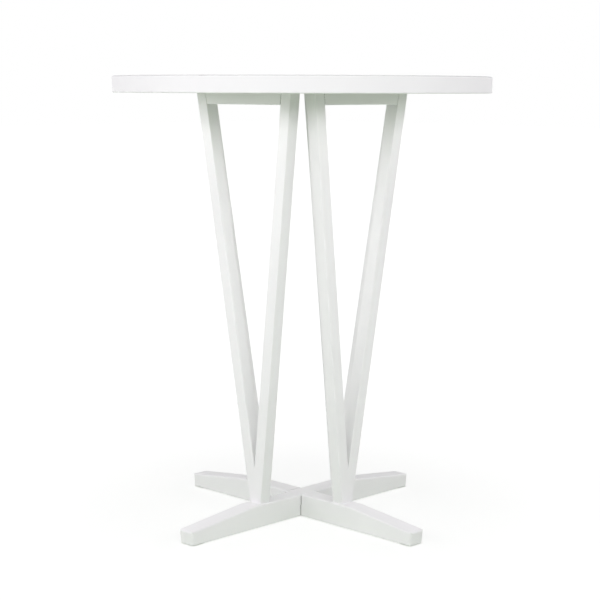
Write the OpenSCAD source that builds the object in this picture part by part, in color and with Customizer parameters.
// Round bar table on a cross foot.
// Four V-shaped leg frames stand on the arms of the foot, lean outwards and carry the tabletop.
// The origin is on the floor at the table's centre. X runs along the upper beam and Z points up.

/* [Tabletop] */
// Height of the tabletop's upper face above the floor
table_h = 1050; // [950:1:1150]
// Diameter of the tabletop
top_d = 882; // [600:1:1000]
// Thickness of the tabletop
top_t = 38; // [30:1:50]
// Rounding of both edges of the tabletop's rim
top_edge_r = 3; // [1:0.5:8]

/* [Cross foot] */
// Length of each beam, tip to tip
beam_l = 742; // [640:1:860]
// Width of each beam
beam_w = 45; // [42:1:60]
// Height of each beam from the middle to just past the leg frames
beam_h = 53; // [46:1:70]
// Height of each beam at its tips
tip_h = 31; // [26:1:40]
// Level stretch of a beam past the outer face of a leg frame, where the taper starts
foot_ledge = 27; // [10:1:50]
// Rounding of the beams' upper edges
beam_edge_r = 4; // [1:0.5:6]
// Rounding of the standing edges at the beams' tips
tip_corner_r = 7; // [2:0.5:10]
// Rounding of the beams' lower edges
beam_under_r = 1.5; // [0.5:0.5:3]
// Gap beside each shoulder of the halving joint
lap_gap = 0.6; // [0.1:0.1:0.9]
// Chamfer on the upright edges of the notches
lap_chamfer = 1.2; // [0.5:0.1:2]

/* [Leg frames] */
// Width of a leg in the plane of its frame
leg_w = 30; // [26:1:36]
// Thickness of the legs and rails, square to the plane of the frame
leg_t = 30; // [26:1:36]
// Rounding of the long edges of the legs and rails
leg_edge_r = 2; // [1:0.5:4]
// Width of a frame across its legs under the tabletop
frame_top_w = 309; // [240:1:360]
// Width of a frame across its legs on the beam
frame_foot_w = 36; // [30:1:40]
// Distance from the table's centre to a frame's inner face on the beam
frame_foot_inset = 123; // [90:1:160]
// How far a frame's inner face stands outside the edges of its two neighbours, under the tabletop
corner_gap = 7.5; // [3:0.5:30]
// Height of a rail
rail_h = 25; // [20:1:40]
// Gap between each end of a rail and its leg
rail_gap = 0.4; // [0.1:0.1:0.8]
// Chamfer on the end edges of a rail, along its inner and outer faces
rail_end_chamfer = 1; // [0.5:0.1:2]

/* [Dowels] */
// Diameter of a dowel
dowel_d = 8; // [6:1:8]
// Length of a dowel
dowel_l = 40; // [30:1:44]
// Distance between the two dowels of a joint
dowel_spacing = 16; // [15:1:17]
// Chamfer on the ends of a dowel
dowel_chamfer = 1; // [0.5:0.1:1.5]
// Height of the mitre dowels below the crotch of the legs
mitre_dowel_drop = 14; // [10:1:20]
// Radial room round a dowel, a nail or the gripping part of a screw
snug_fit = 0.05; // [0.02:0.01:0.1]

/* [Screws] */
// Diameter of the screws that hold the legs
foot_screw_d = 6; // [5:0.5:6]
// Diameter of the leg screws' heads
foot_head_d = 12; // [10:0.5:14]
// Depth that the leg screws grip in the legs
foot_screw_grip = 50; // [30:1:70]
// Depth of the counterbores under the beams for the leg screws
foot_recess = 15; // [8:1:20]
// Diameter of the screws in the tabletop and in the halving joint
top_screw_d = 5; // [4:0.5:6]
// Diameter of the heads of the screws in the tabletop and in the halving joint
top_head_d = 10; // [9:0.5:12]
// Depth that the tabletop screws grip in the tabletop
top_screw_grip = 20; // [12:1:24]
// Depth of the counterbores under the rails
rail_recess = 4; // [3:0.5:8]
// Distance from a rail's end to its tabletop screw
top_screw_inset = 45; // [35:1:60]
// Depth that the screw of the halving joint grips in the upper beam
lap_screw_grip = 20; // [12:1:21]
// Depth of the counterbore for the screw of the halving joint
lap_recess = 7.5; // [4:0.5:12]
// Height of a screw's head
screw_head_h = 3; // [2:0.5:4]
// Bevel round the outer edge of a screw's head
screw_head_bevel = 1; // [0.5:0.1:1.5]
// Width of the hexagonal socket in a screw's head, across its corners
screw_socket_w = 4.6; // [3:0.1:6]
// Depth of the socket
screw_socket_depth = 2; // [1:0.1:2.5]
// Length of a screw's point
screw_point_l = 6; // [4:0.5:8]
// Radial room round a screw in the piece that it pulls up
screw_room = 0.3; // [0.1:0.1:0.5]
// Radial room round a screw's head in its counterbore
head_room = 0.5; // [0.2:0.1:1]

/* [Glides] */
// Thickness of a glide
glide_t = 2; // [2:0.5:4]
// Diameter of a glide
glide_d = 24; // [18:1:32]
// Rounding of a glide's lower edge
glide_edge_r = 0.8; // [0.3:0.1:1]
// Distance from a beam's tip to the centre of its glide
glide_inset = 22; // [18:1:40]
// Diameter of a glide's nail
nail_d = 2.5; // [2:0.1:3]
// Diameter of a nail's head
nail_head_d = 7; // [6:0.5:10]
// Thickness of a nail's head
nail_head_t = 0.6; // [0.4:0.1:0.8]
// Height of a nail's head above the floor, inside its glide
nail_head_rise = 0.2; // [0.1:0.1:0.5]
// Depth of a nail in the beam
nail_grip = 16; // [10:1:20]
// Length of a nail's point
nail_point_l = 3; // [2:0.5:4]

/* [Hidden] */
$fn = 48;
SIDES = ["front", "right", "back", "left"];
HANDS = ["left", "right"];

function leg_name(side, hand) = str(side, "_frame_", hand, "_leg");
function rail_name(side) = str(side, "_frame_rail");
function glide_name(side) = str(side, "_glide");

// How far a cutting shape runs past the faces that it cuts
past = 1;

// Levels above the floor
beam_bottom_z = glide_t;
beam_top_z = beam_bottom_z + beam_h;
beam_mid_z = beam_bottom_z + beam_h / 2;
under_top_z = table_h - top_t;
frame_rise = under_top_z - beam_top_z;

// A frame leans outwards, and its legs spread in its own plane
frame_top_inset = frame_top_w / 2 + corner_gap;
lean = atan((frame_top_inset - frame_foot_inset) / frame_rise);
frame_len = frame_rise / cos(lean);
spread = atan((frame_top_w - frame_foot_w) / 2 / frame_len);
leg_w_level = leg_w / cos(spread);
crotch_z = (leg_w_level - frame_foot_w / 2) / tan(spread);
mitre_dowel_z = crotch_z - mitre_dowel_drop;
rail_mid_z = frame_len - rail_h / 2;
leg_overrun = leg_w;

// Half the distance between the inner sides of a frame's legs, at a height in the frame
function half_bay(z) = frame_foot_w / 2 + z * tan(spread) - leg_w_level;

// Places along an arm, from the table's centre
taper_start = frame_foot_inset + leg_t + foot_ledge;
taper_angle = atan((beam_h - tip_h) / (beam_l / 2 - taper_start));
taper_l = (beam_l / 2 - taper_start) / cos(taper_angle);
taper_block_l = 4 * beam_l;
taper_block_h = 4 * beam_h;
foot_screw_r = frame_foot_inset + leg_t / 2 + foot_screw_grip / 2 * tan(lean);
foot_screw_y = frame_foot_w / 4;
rail_screw_r = frame_foot_inset + leg_t / 2 + (frame_rise - rail_h / 2) * tan(lean);
rail_screw_y = half_bay(rail_mid_z) - top_screw_inset;
glide_r = beam_l / 2 - glide_inset;

// Level at which a nail's head pulls on its glide
nail_seat_z = nail_head_rise + nail_head_t;

// Rectangle standing on the x axis, with one rounding for its upper corners and one for its lower
module rounded_section(w, h, upper_r, lower_r) {
    translate([-w / 2, lower_r]) square([w, h - upper_r - lower_r]);
    translate([upper_r - w / 2, h - 2 * upper_r]) square([w - 2 * upper_r, 2 * upper_r]);
    translate([lower_r - w / 2, 0]) square([w - 2 * lower_r, 2 * lower_r]);
    for (x = [-1, 1]) {
        translate([x * (w / 2 - upper_r), h - upper_r]) circle(r = upper_r);
        translate([x * (w / 2 - lower_r), lower_r]) circle(r = lower_r);
    }
}

// Turns a section so that its x axis runs along Y, its y axis along Z and its depth along X
module along_x(length) {
    rotate([90, 0, 90]) linear_extrude(length, center = true) children();
}

// Puts children on one arm of the foot, from the arm that points along +X
module on_side(side) {
    turn = 90 * (search([side], SIDES)[0] - 1);
    rotate([0, 0, turn]) children();
}

// The plane of a frame: X out through its thickness, Y along its rail, Z up its middle
module in_frame() {
    translate([frame_foot_inset, 0, beam_top_z]) rotate([0, lean, 0]) children();
}

// Screw with its head's seat at the origin and its shank up along Z
module screw(d, head_d, length) {
    difference() {
        rotate_extrude() polygon([
            [0, -screw_head_h],
            [head_d / 2 - screw_head_bevel, -screw_head_h],
            [head_d / 2, screw_head_bevel - screw_head_h],
            [head_d / 2, 0],
            [d / 2, 0],
            [d / 2, length - screw_point_l],
            [0, length]
        ]);
        translate([0, 0, -screw_head_h - past])
            cylinder(d = screw_socket_w, h = screw_socket_depth + past, $fn = 6);
    }
}

// Room for a screw: a counterbore below its seat, a clear stretch and a snug stretch above
module screw_hole(d, head_d, recess, clear_length, length) {
    translate([0, 0, -recess - past]) cylinder(r = head_d / 2 + head_room, h = recess + past);
    translate([0, 0, -past]) cylinder(r = d / 2 + screw_room, h = clear_length + past);
    cylinder(r = d / 2 + snug_fit, h = length + past);
}

// Plain dowel with chamfered ends, centred on the origin along Y
module dowel() {
    half = dowel_l / 2;
    rotate([90, 0, 0]) rotate_extrude() polygon([
        [0, -half],
        [dowel_d / 2 - dowel_chamfer, -half],
        [dowel_d / 2, dowel_chamfer - half],
        [dowel_d / 2, half - dowel_chamfer],
        [dowel_d / 2 - dowel_chamfer, half],
        [0, half]
    ]);
}

// Hole for a dowel, a little deeper than the dowel at both ends
module dowel_hole() {
    rotate([90, 0, 0]) cylinder(r = dowel_d / 2 + snug_fit, h = dowel_l + 2 * past, center = true);
}

// The pair of places of the dowels at one height and one distance from the frame's middle
module at_dowel_pair(y, z) {
    for (x = [-1, 1]) in_frame() translate([leg_t / 2 + x * dowel_spacing / 2, y, z]) children();
}

module at_rail_dowels() {
    for (y = [-1, 1]) at_dowel_pair(y * half_bay(rail_mid_z), rail_mid_z) children();
}

module at_mitre_dowels() {
    at_dowel_pair(0, mitre_dowel_z) children();
}

// Seats of the screws that pull a frame down onto its arm
module at_leg_screws() {
    for (y = [-1, 1]) translate([foot_screw_r, y * foot_screw_y, beam_bottom_z + foot_recess]) children();
}

// Seats of the screws that pull the tabletop down onto a rail
module at_tabletop_screws() {
    seat_z = under_top_z - rail_h + rail_recess;
    for (y = [-1, 1]) translate([rail_screw_r, y * rail_screw_y, seat_z]) children();
}

module leg_screw() {
    screw(foot_screw_d, foot_head_d, beam_h - foot_recess + foot_screw_grip);
}

module leg_screw_hole() {
    clear_length = beam_h - foot_recess;
    screw_hole(foot_screw_d, foot_head_d, foot_recess, clear_length, clear_length + foot_screw_grip);
}

module tabletop_screw() {
    screw(top_screw_d, top_head_d, rail_h - rail_recess + top_screw_grip);
}

module tabletop_screw_hole() {
    clear_length = rail_h - rail_recess;
    screw_hole(top_screw_d, top_head_d, rail_recess, clear_length, clear_length + top_screw_grip);
}

module at_lap_screw() {
    translate([0, 0, beam_bottom_z + lap_recess]) children();
}

module lap_screw_hole() {
    clear_length = beam_h / 2 - lap_recess;
    screw_hole(top_screw_d, top_head_d, lap_recess, clear_length, clear_length + lap_screw_grip);
}

module tabletop() {
    color("white") difference() {
        translate([0, 0, under_top_z]) rotate_extrude($fn = 180) {
            intersection() {
                rounded_section(top_d, top_t, top_edge_r, top_edge_r);
                square([top_d, top_t]);
            }
        }
        for (side = SIDES) on_side(side) at_tabletop_screws() tabletop_screw_hole();
    }
}

// Puts children where the taper of the +X tip starts, with the x axis down the slope
module on_slope() {
    translate([taper_start, 0, beam_top_z]) rotate([0, taper_angle, 0]) children();
}

// Block under the slope of the +X tip, seen from the side: it ends square to the slope at the tip
module taper_side() {
    translate([taper_l - taper_block_l / 2, -taper_block_h])
        rounded_section(taper_block_l, taper_block_h, beam_edge_r, beam_edge_r);
}

// Block under the slope of the +X tip, with rounded edges along the slope and round its end
module taper_block() {
    on_slope() intersection() {
        rotate([90, 0, 0]) linear_extrude(beam_w + 2 * past, center = true) taper_side();
        translate([0, 0, -taper_block_h]) along_x(taper_block_l)
            rounded_section(beam_w, taper_block_h, beam_edge_r, beam_edge_r);
        translate([taper_l - taper_block_l / 2, -beam_w / 2, -taper_block_h - past])
            linear_extrude(taper_block_h + 2 * past)
                rounded_section(taper_block_l, beam_w, tip_corner_r, tip_corner_r);
    }
}

// A beam along X before its joint is cut: a level bar, trimmed by the taper of each tip
module beam_blank() {
    intersection() {
        translate([0, 0, beam_bottom_z]) along_x(beam_l + 2 * past)
            rounded_section(beam_w, beam_h, beam_edge_r, beam_under_r);
        taper_block();
        mirror([1, 0, 0]) taper_block();
    }
}

// Plan of a notch of the halving joint, opened by a chamfer at both mouths
module notch_plan() {
    wall_x = beam_w / 2 + lap_gap;
    core_y = beam_w / 2 - lap_chamfer;
    mouth_x = wall_x + lap_chamfer + past;
    mouth_y = beam_w / 2 + past;
    polygon([
        [-mouth_x, -mouth_y],
        [-wall_x, -core_y],
        [-wall_x, core_y],
        [-mouth_x, mouth_y],
        [mouth_x, mouth_y],
        [wall_x, core_y],
        [wall_x, -core_y],
        [mouth_x, -mouth_y]
    ]);
}

// A beam with its notch from a level up or down, and its holes
module beam(turn, notch_z, notch_h) {
    color("whitesmoke") difference() {
        rotate([0, 0, turn]) difference() {
            beam_blank();
            translate([0, 0, notch_z]) linear_extrude(notch_h) notch_plan();
            for (arm = [0, 180]) rotate([0, 0, arm]) {
                at_leg_screws() leg_screw_hole();
                at_glide() nail_hole();
            }
        }
        at_lap_screw() lap_screw_hole();
    }
}

module upper_beam() {
    beam(0, beam_bottom_z - past, beam_h / 2 + past);
}

module lower_beam() {
    beam(90, beam_mid_z, beam_h / 2 + past);
}

// The right leg of the frame on the +X arm, seen from outside: cut level at both ends and upright
// down the middle of the frame, where it meets the left leg
module right_leg() {
    difference() {
        intersection() {
            in_frame() translate([leg_t / 2, frame_foot_w / 2, 0]) rotate([-spread, 0, 0])
                translate([0, -leg_w, -leg_overrun])
                    linear_extrude(frame_len / cos(spread) + 2 * leg_overrun)
                        rounded_section(leg_t, leg_w, leg_edge_r, leg_edge_r);
            translate([0, 0, beam_top_z]) cube([table_h, table_h, frame_rise]);
        }
        at_rail_dowels() dowel_hole();
        at_mitre_dowels() dowel_hole();
        at_leg_screws() leg_screw_hole();
    }
}

module leg(side, hand) {
    color("whitesmoke") on_side(side) mirror([0, hand == "left" ? 1 : 0, 0]) right_leg();
}

// Room between the legs on one side of a frame, up to the gap at the leg on its +Y side, with the
// corners beside the leg chamfered
module bay_to_leg() {
    bay_foot_y = half_bay(0) - rail_gap / cos(spread);
    translate([0, bay_foot_y, 0]) rotate([-spread, 0, 0]) linear_extrude(2 * frame_len) polygon([
        [0, -rail_end_chamfer],
        [rail_end_chamfer, 0],
        [leg_t - rail_end_chamfer, 0],
        [leg_t, -rail_end_chamfer],
        [leg_t, -2 * frame_top_w],
        [0, -2 * frame_top_w]
    ]);
}

// A rail stands between the legs, with its ends cut to their slope and its top cut level
module rail(side) {
    low_z = frame_len - rail_h;
    color("whitesmoke") on_side(side) difference() {
        intersection() {
            in_frame() translate([leg_t / 2, 0, low_z]) rotate([90, 0, 0])
                linear_extrude(frame_top_w, center = true)
                    rounded_section(leg_t, 2 * rail_h, leg_edge_r, leg_edge_r);
            in_frame() bay_to_leg();
            in_frame() mirror([0, 1, 0]) bay_to_leg();
            translate([0, -frame_top_w, 0]) cube([table_h, 2 * frame_top_w, under_top_z]);
        }
        at_rail_dowels() dowel_hole();
        at_tabletop_screws() tabletop_screw_hole();
    }
}

module at_glide() {
    translate([glide_r, 0, 0]) children();
}

// Disc on the floor with its lower edge rounded and a stepped hole for its nail
module glide(side) {
    color("dimgray") on_side(side) at_glide() difference() {
        rotate_extrude() intersection() {
            rounded_section(glide_d, 2 * glide_t, glide_edge_r, glide_edge_r);
            square([glide_d, glide_t]);
        }
        translate([0, 0, -past]) cylinder(r = nail_head_d / 2 + snug_fit, h = nail_seat_z + past);
        cylinder(r = nail_d / 2 + snug_fit, h = glide_t + past);
    }
}

module nail() {
    top = beam_bottom_z + nail_grip;
    rotate_extrude() polygon([
        [0, nail_head_rise],
        [nail_head_d / 2, nail_head_rise],
        [nail_head_d / 2, nail_seat_z],
        [nail_d / 2, nail_seat_z],
        [nail_d / 2, top - nail_point_l],
        [0, top]
    ]);
}

module nail_hole() {
    cylinder(r = nail_d / 2 + snug_fit, h = beam_bottom_z + nail_grip + past);
}

module rail_dowels() {
    color("burlywood") for (side = SIDES) on_side(side) at_rail_dowels() dowel();
}

module mitre_dowels() {
    color("burlywood") for (side = SIDES) on_side(side) at_mitre_dowels() dowel();
}

module leg_screws() {
    color("silver") for (side = SIDES) on_side(side) at_leg_screws() leg_screw();
}

module tabletop_screws() {
    color("silver") for (side = SIDES) on_side(side) at_tabletop_screws() tabletop_screw();
}

module lap_screw() {
    length = beam_h / 2 - lap_recess + lap_screw_grip;
    color("silver") at_lap_screw() screw(top_screw_d, top_head_d, length);
}

module glide_nails() {
    color("silver") for (side = SIDES) on_side(side) at_glide() nail();
}

tabletop();
upper_beam();
lower_beam();
for (side = SIDES) {
    for (hand = HANDS) {
        leg(side, hand);
    }
    rail(side);
    glide(side);
}
rail_dowels();
mitre_dowels();
leg_screws();
tabletop_screws();
lap_screw();
glide_nails();
